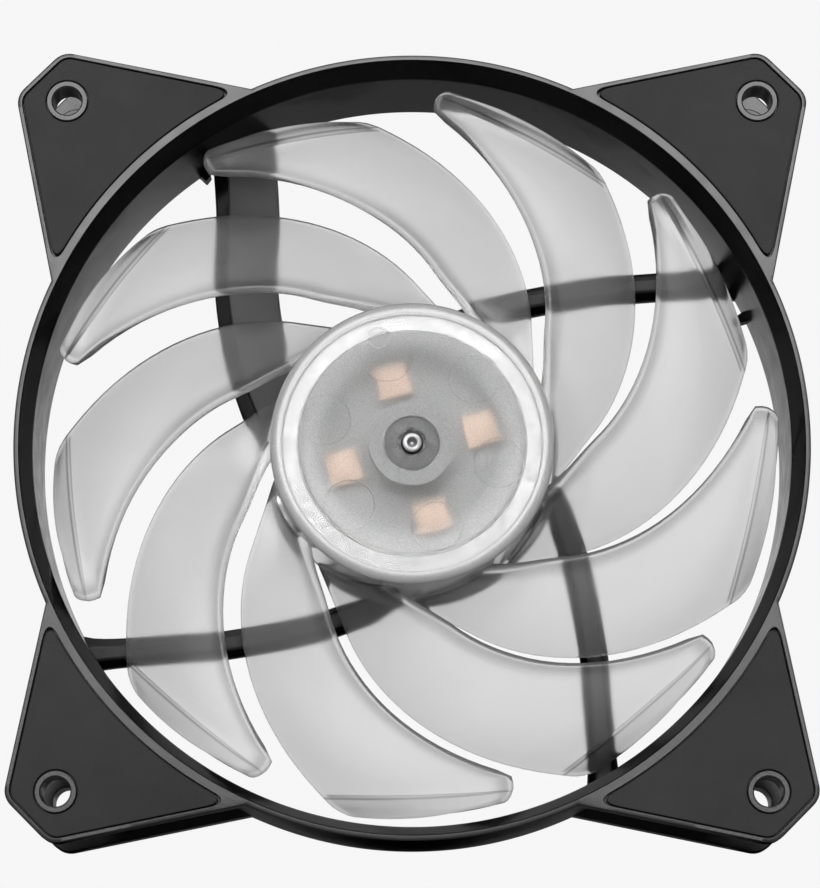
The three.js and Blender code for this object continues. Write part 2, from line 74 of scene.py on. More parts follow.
# Frame sizes, in millimetres
HALF_WIDTH = size_mm("frame")[1].x
FRONT = front_of("frame")
REAR = rear_of("frame")
RING_RADIUS = HALF_WIDTH - 0.3
BORE_RADIUS = HALF_WIDTH - 2.7
RIM_RADIUS = HALF_WIDTH - 1.15
BEVEL_DEPTH = 5
FLANGE = 4
EDGE = 0.28  # small chamfer on every outer edge
RIM_ROUND = 0.12
EAR_SLOPE = math.radians(11.5)
CORNER_X = 53.3  # where an ear's sloping edge turns into its slanted corner
CORNER_REACH = 0.28
CORNER_ROUND = 1.8
HOLE_CENTRE = 52.5
HOLE_RADIUS = 2.2
ISLAND_RADIUS = 3.1
BOSS_RADIUS = 4
BOSS_HEIGHT = 2
POCKET_DEPTH = 1.5
POCKET_INSET = 0.75
POCKET_ARC = 60.2  # radius of the pocket's side along the ring
POCKET_TIP_ROUND = 3.6
POCKET_CORNER_ROUND = 1.4
PAD_GAP = 0.15
HOLE_FLARE = 0.2
ROUND_STEPS = 56
TOOTH_ANGLES = (125, 24.5)
TOOTH_HEIGHT = 3

# Struts and motor base
BASE_RADIUS = 21.2
SEAT_RADIUS = BASE_RADIUS - 0.6  # where the struts end, inside the base's wall
BASE_FLOOR = 3
BASE_RIM_TOP = -8
BASE_WALL = 1.2
LABEL_RECESS = 0.6
STRUT_REAR = 0.07  # above the base's rear face, so that the faces don't coincide
STRUT_HEIGHT = 3.4
# faces whose middle lies in this band get the darker glossy material as painted shade
STRUT_SIDE = (0.9, 2.9)  # the middle of a face on a strut's side lies between these heights
RIDGE_FOOT = 2.2
RIDGE_TOP = 0.95
CHANNEL_EDGE = 5
CHANNEL_WALL = -2.8
CHANNEL_FLOOR = 1.3
# Middle lines of the struts, as radius and degrees from the ring inwards
NARROW_LINE = [(58.6, 120.3), (45.9, 128.4), (39.5, 134.8), (28.7, 150.8), (20.6, 173)]
CABLE_LINE = [(59, 117), (47.6, 123), (38.6, 132.5), (29, 146), (20.4, 167)]

# Impeller
BLADES = 9
HUB_RADIUS = 21.4
HUB_INNER = HUB_RADIUS - 1.3
HUB_FRONT = front_of("shaft") + 0.8
HUB_INSIDE = HUB_FRONT - 1.5
HUB_REAR = rear_of("impeller") + 0.4
BLADE_TIP = 55.3
TIP_START = 52.3
TIP_SETBACK = 2.6
ROOT_BEND_END = 28
LEADING_BEND = 10  # degrees of extra sweep where the edges reach the hub
TRAILING_BEND = 6
SWEEP_RADIUS = 38  # where the angles of both edges are given
LEADING_ANGLE = 101.2
TRAILING_ANGLE = 66.9
LEADING_SWEEP = 1.835  # degrees for each millimetre outwards
TRAILING_SWEEP = 1.83
CORNER_START = 54
RISE_START = 36
RISE_END = 53
LEADING_LOW = 5.5  # height of the leading edge before it rises
LEADING_RISE = 3.6
FOLD_RADIUS = 52.9  # distance of the fold line from the axis, in the direction FOLD_ANGLE
FOLD_ANGLE = math.radians(113.5)
FOLD_SLOPE = 0.4
FOLD_CURVE = 0.0026
FOLD_CURVE_START = 12
BLADE_ROOT = HUB_RADIUS - 0.5
BLADE_REAR = -7.1
RING_INNER = 17.1  # inner radius of the bright ring behind the hub face
MARK_REACH = 13.4
MARK_RADIUS = 3.75
MARK_ANGLES = (106, 46, -14, -74, -134, 166)
GATE_REACH = 16.6
GATE_ANGLE = 107.5
GATE_RADIUS = 1.5


# Mesh helpers ---------------------------------------------------------------


def upright(points):
    """Fan axes in millimetres to the CAD model's frame in metres."""
    p = np.asarray(points, float).reshape(-1, 3)
    return np.stack([p[:, 0], -p[:, 2], p[:, 1]], axis=1) * MM


def piece(name, points, faces, materials, body, replaces, index=None):
    """A mesh object that rides on a body and replaces CAD nodes. index gives each face's material."""
    mesh = bpy.data.meshes.new(name)
    mesh.from_pydata([tuple(p) for p in upright(points)], [], faces)
    for material in materials:
        mesh.materials.append(material)
    if index is not None:
        mesh.polygons.foreach_set("material_index", np.asarray(index, np.int32))
    clean(mesh)
    made = bpy.data.objects.new(name, mesh)
    bpy.context.scene.collection.objects.link(made)
    return settle(made, body, replaces)


def settle(made, body, replaces):
    """Says which body a piece rides on and the CAD nodes it stands for."""
    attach(made, body)
    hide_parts(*replaces)
    return made


def clean(mesh):
    """Merges points that coincide, drops faces without area and turns all faces outwards."""
    bm = bmesh.new()
    bm.from_mesh(mesh)
    bmesh.ops.remove_doubles(bm, verts=bm.verts, dist=1e-6)
    bmesh.ops.dissolve_degenerate(bm, edges=bm.edges, dist=1e-7)
    bmesh.ops.recalc_face_normals(bm, faces=bm.faces)
    bm.to_mesh(mesh)
    bm.free()


def smooth(mesh, angle):
    """Smooth shading, with edges above that many degrees kept sharp."""
    mesh.polygons.foreach_set("use_smooth", [True] * len(mesh.polygons))
    mesh.set_sharp_from_angle(angle=math.radians(angle))
    mesh.update()


def grid_faces(rows, columns, close_rows=False):
    """Quads over a grid of points, wrapping round the columns, and the rows if asked."""
    faces = []
    for row in range(rows if close_rows else rows - 1):
        for column in range(columns):
            a = row * columns + column
            b = row * columns + (column + 1) % columns
            after = (row + 1) % rows * columns
            faces.append((a, b, after + (column + 1) % columns, after + column))
    return faces


def turned(profile, segments):
    """A closed profile of (radius, z) turned about the axis."""
    angles = np.linspace(0, 2 * math.pi, segments, endpoint=False)
    rings = [
        np.stack([r * np.cos(angles), r * np.sin(angles), np.full(segments, z)], axis=1)
        for r, z in profile
    ]
    return np.concatenate(rings), grid_faces(len(profile), segments, close_rows=True)


def rounded(points, radius, segments):
    """A polygon with each corner cut by an arc-like curve of that size, or of the point's own size."""
    made = []
    count = len(points)
    for i, point in enumerate(points):
        here = np.array(point[:2], float)
        size = point[2] if len(point) > 2 else radius
        if size <= 0:
            made.append(tuple(here))
            continue
        before = np.array(points[i - 1][:2], float) - here
        after = np.array(points[(i + 1) % count][:2], float) - here
        reach_a = min(size, np.linalg.norm(before) * 0.49)
        reach_b = min(size, np.linalg.norm(after) * 0.49)
        start = here + before / np.linalg.norm(before) * reach_a
        end = here + after / np.linalg.norm(after) * reach_b
        for k in range(segments + 1):
            t = k / segments
            made.append(tuple((1 - t) ** 2 * start + 2 * t * (1 - t) * here + t * t * end))
    return made


def moved(points, angle, x=0):
    """Points shifted outwards by x and then turned about the fan's axis by an angle in degrees."""
    p = np.asarray(points, float) + np.array([x, 0, 0])
    c, s = math.cos(math.radians(angle)), math.sin(math.radians(angle))
    return np.stack([p[:, 0] * c - p[:, 1] * s, p[:, 0] * s + p[:, 1] * c, p[:, 2]], axis=1)


def joined(parts):
    """Several (points, faces) as one."""
    points = []
    faces = []
    start = 0
    for part_points, part_faces in parts:
        points.append(np.asarray(part_points, float))
        faces += [tuple(i + start for i in face) for face in part_faces]
        start += len(part_points)
    return np.concatenate(points), faces


def cut(target, tools):
    """Cuts the tool objects from the target, and drops them."""
    for tool in tools:
        modifier = target.modifiers.new("cut", "BOOLEAN")
        modifier.operation = "DIFFERENCE"
        modifier.solver = "EXACT"
        modifier.object = tool
    graph = bpy.context.evaluated_depsgraph_get()
    made = bpy.data.meshes.new_from_object(target.evaluated_get(graph))
    target.modifiers.clear()
    old = target.data
    target.data = made
    made.name = old.name
    bpy.data.meshes.remove(old)
    for tool in tools:
        mesh = tool.data
        bpy.data.objects.remove(tool)
        bpy.data.meshes.remove(mesh)


def loose(name, points, faces):
    """A mesh object for cutting, which is dropped afterwards."""
    mesh = bpy.data.meshes.new(name)
    mesh.from_pydata([tuple(p) for p in upright(points)], [], faces)
    clean(mesh)
    made = bpy.data.objects.new(name, mesh)
    bpy.context.scene.collection.objects.link(made)
    return made


def layered(outline, levels):
    """A closed solid from flat rings. Each level is (inset, z), with the outline moved in by inset."""
    rings = [inset_ring(outline, inset, z) for inset, z in levels]
    count = len(outline)
    faces = grid_faces(len(levels), count)
    faces.append(tuple(reversed(range(count))))
    last = (len(levels) - 1) * count
    faces.append(tuple(range(last, last + count)))
    return np.concatenate(rings), faces


def inset_ring(outline, inset, z):
    """The outline, anticlockwise, moved inwards along its normals."""
    p = np.asarray(outline, float)
    ahead = np.roll(p, -1, axis=0) - p
    behind = p - np.roll(p, 1, axis=0)
    ahead /= np.linalg.norm(ahead, axis=1)[:, None]
    behind /= np.linalg.norm(behind, axis=1)[:, None]
    along = ahead + behind
    along /= np.linalg.norm(along, axis=1)[:, None]
    inward = np.stack([-along[:, 1], along[:, 0]], axis=1)
    turn = np.clip(np.sum(ahead * along, axis=1), 0.5, 1)
    flat = p + inward * (inset / turn)[:, None]
    return np.column_stack([flat, np.full(len(p), z)])


def circle(x, y, radius, count):
    angles = np.linspace(0, 2 * math.pi, count, endpoint=False)
    return np.column_stack([x + radius * np.cos(angles), y + radius * np.sin(angles)])


# Materials ------------------------------------------------------------------


class Tree:
    """A small builder of node trees, for a material or the world."""

    def __init__(self, owner, output):
        owner.use_nodes = True
        self.nodes = owner.node_tree.nodes
        self.links = owner.node_tree.links
        self.nodes.clear()
        self.output = self.nodes.new(output)

    def add(self, kind, **values):
        """A node. A key is a socket's name or i and its number; an underscore in front sets a property."""
        node = self.nodes.new(kind)
        for key, value in values.items():
            if key.startswith("_"):
                setattr(node, key[1:], value)
                continue
            numbered = key[0] == "i" and key[1:].isdigit()
            socket = node.inputs[int(key[1:]) if numbered else key.replace("_", " ")]
            self.put(socket, value)
        return node

    def put(self, socket, value):
        """Links a socket's output to an input, or sets the input's value."""
        if isinstance(value, bpy.types.NodeSocket):
            self.links.new(value, socket)
        else:
            socket.default_value = value

    def calc(self, operation, *values):
        """A maths node's result, kept within 0 and 1 for a sum."""
        node = self.add("ShaderNodeMath", _operation=operation, _use_clamp=operation == "ADD")
        for socket, value in zip(node.inputs, values):
            self.put(socket, value)
        return node.outputs[0]

    def spread(self, value, low, high, start=0.3, end=0.7):
        """A value from start to end stretched to run from low to high, and held outside that."""
        ranges = {"From_Min": start, "From_Max": end, "To_Min": low, "To_Max": high}
        return self.add("ShaderNodeMapRange", Value=value, **ranges).outputs["Result"]

    def finish(self, node):
        self.links.new(node.outputs[0], self.output.inputs["Surface"])


class Shader(Tree):
    """A material with patterns in the object's own space."""

    def __init__(self, name):
        self.material = bpy.data.materials.new(name)
        super().__init__(self.material, "ShaderNodeOutputMaterial")
        self.coords = self.add("ShaderNodeTexCoord").outputs["Object"]

    def noise(self, scale, detail=4.0, roughness=0.55, vector=None):
        vector = vector or self.coords
        node = self.add("ShaderNodeTexNoise", Scale=scale, Detail=detail, Roughness=roughness, Vector=vector)
        return node.outputs["Fac"]

    def colours(self, value, first, second):
        node = self.add("ShaderNodeMix", _data_type="RGBA", i0=value, i6=(*first, 1), i7=(*second, 1))
        return node.outputs[2]

    def bumped(self, height, distance):
        return self.add("ShaderNodeBump", Distance=distance, Height=height).outputs["Normal"]

    def principled(self, **values):
        self.finish(self.add("ShaderNodeBsdfPrincipled", **values))


def grey(level):
    return (level, level, level * 1.01)


def plastic(name, dark, light, roughness, grain, grain_depth, specular=0.5):
    """Moulded plastic: a fine grain, faint tonal drift and uneven gloss."""
    sweep = 0.04
    s = Shader(name)
    fine = s.noise(grain, 5.0)
    drift = s.noise(38.0, 3.0)
    tone = s.colours(s.spread(drift, 0, 1), dark, light)
    gloss = s.spread(s.noise(260.0, 4.0), roughness - sweep, roughness + sweep)
    normal = s.bumped(fine, grain_depth)
    s.principled(Base_Color=tone, Roughness=gloss, Normal=normal, Specular_IOR_Level=specular)
    return s.material


def metal(name, colour, second, roughness, scale=700.0, stretch=(1, 1, 1)):
    """Machined or drawn metal with fine lines."""
    s = Shader(name)
    stretched = s.add("ShaderNodeMapping", Vector=s.coords, Scale=stretch).outputs[0]
    lines = s.noise(scale, 3.0, 0.5, stretched)
    tone = s.colours(s.spread(s.noise(90.0), 0, 1), colour, second)
    gloss = s.spread(lines, roughness * 0.75, roughness * 1.3)
    normal = s.bumped(lines, 0.00001)
    s.principled(Base_Color=tone, Roughness=gloss, Metallic=1.0, Normal=normal)
    return s.material


FRAME = plastic("frame_satin", grey(0.010), grey(0.015), 0.36, 2600.0, 0.00002)
# Glossier copy of the frame plastic whose darker colour is painted shade, for the intake bevel, the strut
# sides and the teeth
SHADED_GLOSS = plastic("frame_gloss_painted_shade", grey(0.0015), grey(0.0025), 0.14, 2600.0, 0.000003, specular=0.04)
BORE = plastic("frame_bore", grey(0.003), grey(0.005), 0.2, 2600.0, 0.000006, specular=0.2)
STRUT = plastic("strut_satin", grey(0.014), grey(0.026), 0.5, 1300.0, 0.00003, specular=0.4)
NARROW = plastic("strut_dark", grey(0.005), grey(0.010), 0.5, 1300.0, 0.00003, specular=0.3)
PAD = plastic("pad_rubber", grey(0.017), grey(0.022), 0.8, 3400.0, 0.00006, specular=0.25)


# Frame ----------------------------------------------------------------------


def on_circle(radius, angle):
    return np.array([radius * math.cos(math.radians(angle)), radius * math.sin(math.radians(angle))])


def edge_meets_circle(inset, radius):
    """Where the sloping edge of a corner ear, moved in by inset, meets a circle about the axis."""
    slope = math.tan(EAR_SLOPE)
    height = HALF_WIDTH + CORNER_REACH - CORNER_X * slope - inset / math.cos(EAR_SLOPE)
    spread = 1 + slope * slope
    x = (-slope * height + math.sqrt(radius * radius * spread - height * height)) / spread
    return np.array([x, height + slope * x])


def corner_outline(inset, arc_radius, tip_round, corner_round):
    """One corner ear, or the pocket or pad in it, anticlockwise from the lobe near 90 degrees."""
    tip = edge_meets_circle(inset, arc_radius)
    corner = np.array([
        CORNER_X - inset * math.tan(math.pi / 8),
        HALF_WIDTH + CORNER_REACH - inset / math.cos(EAR_SLOPE),
    ])
    low_corner = corner[::-1]
    low_tip = tip[::-1]
    first = math.degrees(math.atan2(tip[1], tip[0]))
    arc = [on_circle(arc_radius, a) for a in np.linspace(90 - first, first, 26)]
    polygon = [
        (*low_tip, tip_round), (*low_corner, corner_round), (*corner, corner_round), (*tip, tip_round),
    ]
    polygon += [(*p, 0) for p in arc[-2:0:-1]]
    return blended(polygon, arc_radius)


def blended(polygon, arc_radius):
    """Rounds the polygon's corners, letting a large rounding run along the arc it meets."""
    steps = 8
    made = []
    for i, (x, y, size) in enumerate(polygon):
        here = np.array([x, y])
        if size <= 0:
            if all(np.linalg.norm(here - np.array(p[:2])) > p[2] for p in polygon if p[2] > 2):
                made.append(here)
            continue
        start = walked(polygon, i, -1, size, arc_radius)
        end = walked(polygon, i, 1, size, arc_radius)
        for k in range(steps + 1):
            t = k / steps
            made.append((1 - t) ** 2 * start + 2 * t * (1 - t) * here + t * t * end)
    return np.array(made)


def walked(polygon, i, way, size, arc_radius):
    """A point that far along the outline from corner i, on the arc where the outline follows it."""
    here = np.array(polygon[i][:2])
    beside = np.array(polygon[(i + way) % len(polygon)][:2])
    if max(abs(np.hypot(*here) - arc_radius), abs(np.hypot(*beside) - arc_radius)) > 1e-6:
        return here + (beside - here) / np.linalg.norm(beside - here) * size
    turn = size / arc_radius
    if beside[0] * here[1] - beside[1] * here[0] > 0:
        turn = -turn
    c, s = math.cos(turn), math.sin(turn)
    moved_to = np.array([here[0] * c - here[1] * s, here[0] * s + here[1] * c])
    return moved_to / np.linalg.norm(moved_to) * arc_radius


def shell_radii():
    """Angles round the shell, in degrees, and its outer radius at each, with the four ears."""
    ear = corner_outline(0, RING_RADIUS, 0, CORNER_ROUND)
    ear_angles = np.degrees(np.arctan2(ear[:, 1], ear[:, 0]))
    ear_radii = np.hypot(ear[:, 0], ear[:, 1])
    outer = ear_radii > RING_RADIUS + 1e-3
    order = np.argsort(ear_angles[outer])
    known_angles = ear_angles[outer][order]
    fine = np.concatenate([np.arange(0, 90, 0.75), known_angles, known_angles[[0, -1]] + [-0.9, 0.9]])
    tips = np.degrees(np.arctan2(*edge_meets_circle(0, RING_RADIUS)[::-1]))
    fine = np.unique(np.round(np.concatenate([fine, [tips, 90 - tips]]), 4))
    radii = np.array([ear_radius(a, ear) for a in fine])
    angles = np.concatenate([fine + 90 * q for q in range(4)])
    return angles, np.tile(radii, 4)


def ear_radius(angle, ear):
    """How far out the ear's outline is in a direction, or the ring's radius where that is more."""
    direction = on_circle(1, angle)
    best = RING_RADIUS
    for a, b in zip(ear, np.roll(ear, -1, axis=0)):
        side = b - a
        cross = direction[0] * side[1] - direction[1] * side[0]
        if abs(cross) < 1e-9:
            continue
        reach = (a[0] * side[1] - a[1] * side[0]) / cross
        along = (a[0] * direction[1] - a[1] * direction[0]) / cross
        if -1e-9 <= along <= 1 + 1e-9 and reach > best:
            best = reach
    return best


def build_shell():
    """The ring with its front and rear ears, drawn as rings of points one above the other."""
    angles, outer = shell_radii()
    inner_face = FRONT - FLANGE
    under = np.where(outer > RING_RADIUS + EDGE, outer - EDGE, RING_RADIUS)
    chamfer = np.maximum(outer - EDGE, RING_RADIUS - EDGE)
    middle = outer - EDGE * 0.3
    outside = [
        (chamfer, REAR),
        (middle, REAR + EDGE * 0.3),
        (outer, REAR + EDGE),
        (outer, -inner_face - EDGE),
        (under, -inner_face),
        (RING_RADIUS, -inner_face),
        (RING_RADIUS, inner_face),
        (under, inner_face),
        (outer, inner_face + EDGE),
        (outer, FRONT - EDGE),
        (middle, FRONT - EDGE * 0.3),
        (chamfer, FRONT),
    ]
    intake_bevel = [
        (RIM_RADIUS + RIM_ROUND, FRONT),
        (RIM_RADIUS - 0.02, FRONT - 0.1),
        (BORE_RADIUS + 0.1, FRONT - BEVEL_DEPTH + 0.32),
    ]
    bore = [
        (BORE_RADIUS, FRONT - BEVEL_DEPTH - 0.3),
        (BORE_RADIUS, REAR + 0.9),
        (BORE_RADIUS + 0.2, REAR + 0.4),
    ]
    levels = outside + intake_bevel + bore + [(BORE_RADIUS + 0.6, REAR)]
    directions = np.column_stack([np.cos(np.radians(angles)), np.sin(np.radians(angles))])
    rings = []
    for radius, z in levels:
        radii = np.broadcast_to(radius, outer.shape)
        rings.append(np.column_stack([directions * radii[:, None], np.full(len(outer), z)]))
    points = np.concatenate(rings)
    faces = grid_faces(len(levels), len(angles), close_rows=True)
    # The intake bevel takes the darker glossy material: its dark colour is painted shade
    kinds = [0] * len(outside) + [1] * len(intake_bevel) + [2] * len(bore) + [0]
    shell = piece("frame_shell", points, faces, [FRAME, SHADED_GLOSS, BORE], "body", ["frame"],
                  index=np.repeat(kinds, len(angles)))
    tools = []
    for quarter in range(4):
        tools += corner_tools(quarter)
    cut(shell, tools)
    finish_hard(shell)


def corner_tools(quarter):
    """Solids to cut from one corner: both pockets with their islands, and the screw hole."""
    tools = []
    outline = corner_outline(POCKET_INSET, POCKET_ARC, POCKET_TIP_ROUND, POCKET_CORNER_ROUND)
    island = circle(HOLE_CENTRE, HOLE_CENTRE, ISLAND_RADIUS, ROUND_STEPS)
    for side in (1, -1):
        face = FRONT if side > 0 else REAR
        floor = face - side * POCKET_DEPTH
        levels = [
            (0, floor), (0, face - side * 0.1), (-0.14, face + side * 0.05), (-0.14, face + side),
        ]
        island_levels = [
            (0, floor - side), (0, face - side * 0.1), (0.12, face + side * 0.02), (0.12, face + side * 2),
        ]
        if side < 0:
            levels.reverse()
            island_levels.reverse()
        points, faces = layered(outline, levels)
        pocket = loose("pocket", moved(points, 90 * quarter), faces)
        points, faces = layered(island, island_levels)
        cut(pocket, [loose("island", moved(points, 90 * quarter), faces)])
        tools.append(pocket)
    wide = HOLE_RADIUS + HOLE_FLARE
    profile = [(wide + 0.5, REAR - 0.5), (wide, REAR), (HOLE_RADIUS, REAR + HOLE_FLARE)]
    profile += [(r, -z) for r, z in reversed(profile)]
    outline = circle(HOLE_CENTRE, HOLE_CENTRE, HOLE_RADIUS, ROUND_STEPS)
    points, faces = layered(outline, [(HOLE_RADIUS - r, z) for r, z in profile])
    tools.append(loose("hole", moved(points, 90 * quarter), faces))
    return tools


def finish_hard(target, angle=32):
    """Smooth shading that keeps flat faces flat."""
    smooth(target.data, angle)
    modifier = target.modifiers.new("even", "WEIGHTED_NORMAL")
    modifier.keep_sharp = True
    modifier.weight = 60


def build_bosses():
    """The round collars of the screw holes, on the inner side of each ear."""
    parts = []
    low = FRONT - FLANGE - BOSS_HEIGHT
    high = FRONT - FLANGE + 0.2
    chamfer = 0.3
    profile = [
        (HOLE_RADIUS, high), (HOLE_RADIUS, low + chamfer / 2), (HOLE_RADIUS + chamfer / 2, low),
        (BOSS_RADIUS - chamfer, low), (BOSS_RADIUS - 0.3 * chamfer, low + 0.3 * chamfer),
        (BOSS_RADIUS, low + chamfer), (BOSS_RADIUS, high),
    ]
    for quarter in range(4):
        for side in (1, -1):
            shape = [(r, z * side) for r, z in profile]
            points, faces = turned(shape, 48)
            points = points + np.array([HOLE_CENTRE, HOLE_CENTRE, 0])
            parts.append((moved(points, 90 * quarter), faces))
    points, faces = joined(parts)
    made = piece("frame_bosses", points, faces, [FRAME], "body", ["frame"])
    finish_hard(made)


def smooth_line(points, count):
    """Catmull-Rom curve through polar points, as flat positions and unit tangents."""
    p = np.array([on_circle(r, a) for r, a in points])
    p = np.concatenate([[2 * p[0] - p[1]], p, [2 * p[-1] - p[-2]]])
    spans = len(p) - 3
    made = []
    for t in np.linspace(0, spans - 1e-9, count):
        i = int(t)
        u = t - i
        a, b, c, d = p[i], p[i + 1], p[i + 2], p[i + 3]
        made.append(0.5 * (2 * b + (c - a) * u + (2 * a - 5 * b + 4 * c - d) * u * u
                           + (3 * b - a - 3 * c + d) * u ** 3))
    made = np.array(made)
    tangents = np.gradient(made, axis=0)
    return made, tangents / np.linalg.norm(tangents, axis=1)[:, None]


def strut(line, section, turn, flare):
    """A section swept along a line, a little wider where it runs into the ring and the base."""
    count = 40
    seat_rings = 4
    centres, tangents = smooth_line(line, count)
    along = np.linspace(0, 1, count)
    wide = 1 + flare * (np.exp(-along / 0.035) * 0.5 + np.exp(-(1 - along) / 0.05) * 0.5)
    sideways = np.column_stack([-tangents[:, 1], tangents[:, 0]])
    rings = []
    for k in range(count):
        pull = max(0, (k - (count - 1 - seat_rings)) / seat_rings) ** 2
        across = [(*(centres[k] + sideways[k] * s * wide[k]), REAR + h) for s, h in section]
        rings.append([seated(point, pull) for point in across])
    points = np.concatenate([np.array(r) for r in rings])
    size = len(section)
    faces = grid_faces(count, size)
    faces += [tuple(reversed(range(size))), tuple(range((count - 1) * size, count * size))]
    return moved(points, turn), faces


def seated(point, pull):
    """Draws the end of a strut onto the wall of the base and keeps it out of the label recess."""
    x, y, z = point
    reach = math.hypot(x, y)
    wanted = max(SEAT_RADIUS, reach + (SEAT_RADIUS - reach) * pull)
    return x * wanted / reach, y * wanted / reach, z


def build_struts():
    """The wide strut with a channel for the wires, and three narrow ones with sloping shoulders."""
    shoulder = 1.9
    ridge = rounded([
        (-RIDGE_FOOT, STRUT_REAR), (RIDGE_FOOT, STRUT_REAR), (RIDGE_FOOT, shoulder),
        (RIDGE_TOP, STRUT_HEIGHT), (-RIDGE_TOP, STRUT_HEIGHT), (-RIDGE_FOOT, shoulder),
    ], 0.3, 3)
    channel = rounded([
        (CHANNEL_EDGE, STRUT_REAR), (CHANNEL_EDGE, STRUT_HEIGHT), (CHANNEL_WALL, STRUT_HEIGHT),
        (CHANNEL_WALL, CHANNEL_FLOOR, 0.15), (-CHANNEL_EDGE, CHANNEL_FLOOR), (-CHANNEL_EDGE, STRUT_REAR),
    ], 0.3, 3)
    struts = [("frame_cable_strut", CABLE_LINE, channel, 0, 0.12, STRUT)]
    struts += [(f"frame_strut_{i}", NARROW_LINE, ridge, -90 * i, 0.7, NARROW) for i in range(1, 4)]
    for name, line, section, turn, flare, plain in struts:
        points, faces = strut(line, section, turn, flare)
        # Side faces and the channel step get the darker glossy material: painted shade where they sit in
        # shadow
        heights = [sum(points[i][2] for i in face) / len(face) - REAR for face in faces]
        shaded_sides = [1 if STRUT_SIDE[0] < height < STRUT_SIDE[1] else 0 for height in heights]
        made = piece(name, points, faces, [plain, SHADED_GLOSS], "body", ["frame"],
                     index=shaded_sides)
        finish_hard(made, 40)


def build_teeth():
    """The two small blocks on the frame's inner wall."""
    parts = []
    for angle in TOOTH_ANGLES:
        outline = rounded([(-1, -0.7), (1, -1), (1, 1), (-1.4, 0.5)], 0.15, 2)
        points, faces = layered(outline, [
            (0, REAR + 0.1), (0, REAR + TOOTH_HEIGHT - 0.2), (0.2, REAR + TOOTH_HEIGHT),
        ])
        parts.append((moved(points, angle, x=BORE_RADIUS), faces))
    points, faces = joined(parts)
    # The teeth take the darker glossy material: its dark colour is painted shade
    made = piece("frame_teeth", points, faces, [SHADED_GLOSS], "body", ["frame"])
    finish_hard(made)


def build_base():
    """The cup behind the motor, with a recess for the label and a notch for the wires."""
    recess = radius_of("rear_label") + 0.3
    wall = BASE_RADIUS - BASE_WALL
    floor = REAR + BASE_FLOOR
    sunk = REAR + LABEL_RECESS
    profile = rounded([
        (AXIS, sunk, 0), (recess, sunk, 0.1), (recess, REAR, 0.2), (BASE_RADIUS, REAR, 0.35),
        (BASE_RADIUS, BASE_RIM_TOP, 0.3), (wall, BASE_RIM_TOP, 0.3), (wall, floor, 0.5), (AXIS, floor, 0),
    ], 0.2, 4)
    points, faces = turned(profile, 144)
    made = piece("motor_base", points, faces, [FRAME], "body", ["frame"])
    notch = np.array([(-3, -2.5), (3, -2.5), (3, 2.5), (-3, 2.5)])
    points, faces = layered(notch, [(0, floor), (0, 0)])
    cut(made, [loose("notch", moved(points, -2, x=-BASE_RADIUS), faces)])
    finish_hard(made)


def build_pads():
    """The soft corner pads, front and rear, each with a hole round its screw boss."""
    corners = ("top_right", "top_left", "bottom_left", "bottom_right")
    outline = corner_outline(
        POCKET_INSET + PAD_GAP, POCKET_ARC + PAD_GAP, POCKET_TIP_ROUND, POCKET_CORNER_ROUND
    )
    hole = circle(HOLE_CENTRE, HOLE_CENTRE, ISLAND_RADIUS + PAD_GAP, ROUND_STEPS)
    low = FRONT - POCKET_DEPTH + PAD_GAP
    high = FRONT - 0.05
    for quarter, corner in enumerate(corners):
        for side, name in ((1, "front"), (-1, "rear")):
            levels = [(0, low), (0, high - 0.3), (0.09, high - 0.09), (0.3, high)]
            hole_levels = [(0, low - 1), (0, high - 0.3), (-0.09, high - 0.09), (-0.33, high + 0.03)]
            hole_levels.append((-0.33, high + 1))
            if side < 0:
                levels = [(i, -z) for i, z in reversed(levels)]
                hole_levels = [(i, -z) for i, z in reversed(hole_levels)]
            points, faces = layered(outline, levels)
            node = f"{name}_pad_{corner}"
            made = piece(f"{node}_rubber", moved(points, 90 * quarter), faces, [PAD], "body",
                         [node])
            points, faces = layered(hole, hole_levels)
            cut(made, [loose("hole", moved(points, 90 * quarter), faces)])
            finish_hard(made)


# Impeller -------------------------------------------------------------------


def root_bend(r):
    return np.maximum(0, (ROOT_BEND_END - r) / (ROOT_BEND_END - HUB_RADIUS)) ** 2


def leading_angle(r):
    """Degrees of the leading edge at a radius, set back in a round corner at the tip."""
    past = np.clip((r - TIP_START) / (BLADE_TIP - TIP_START), 0, 1)
    setback = TIP_SETBACK * (1 - np.sqrt(1 - (past * 0.98) ** 2)) / r
    swept = LEADING_SWEEP * (np.minimum(r, TIP_START - 0.5) - SWEEP_RADIUS)
    return LEADING_ANGLE + swept - LEADING_BEND * root_bend(r) - np.degrees(setback)


def trailing_angle(r):
    """Degrees of the trailing edge at a radius, rounded off towards the tip."""
    swept = TRAILING_SWEEP * (r - SWEEP_RADIUS)
    rounding = 1.3 * np.maximum(0, r - CORNER_START) ** 2
    return TRAILING_ANGLE + swept - TRAILING_BEND * root_bend(r) + rounding


def leading_height(r):
    """Height of the leading edge, which rises smoothly in the outer part of the blade."""
    rise = np.clip((r - RISE_START) / (RISE_END - RISE_START), 0, 1)
    return LEADING_LOW + LEADING_RISE * rise * rise * (3 - 2 * rise)


def blade_angle(r, chord):
    """Degrees at a radius and a share of the way from the leading to the trailing edge."""
    lead = leading_angle(r)
    return lead + (trailing_angle(r) - lead) * chord


def blade_surface(r, chord):
    """Middle surface of a blade; outside the fold line the tip bends towards the outlet."""
    angle = np.radians(blade_angle(r, chord))
    along = chord + 0.22 * chord * (chord - 1)
    lead = leading_height(r)
    height = lead + (BLADE_REAR - lead) * along
    beyond = np.maximum(0, past_fold(r, angle))
    return np.stack([r * np.cos(angle), r * np.sin(angle), height - FOLD_SLOPE * beyond], axis=-1)


def past_fold(r, angle):
    """How far a point lies outside the fold line, which curves inwards at the trailing side."""
    behind = np.maximum(0, FOLD_CURVE_START - r * np.sin(angle - FOLD_ANGLE))
    return r * np.cos(angle - FOLD_ANGLE) - FOLD_RADIUS + FOLD_CURVE * behind ** 2


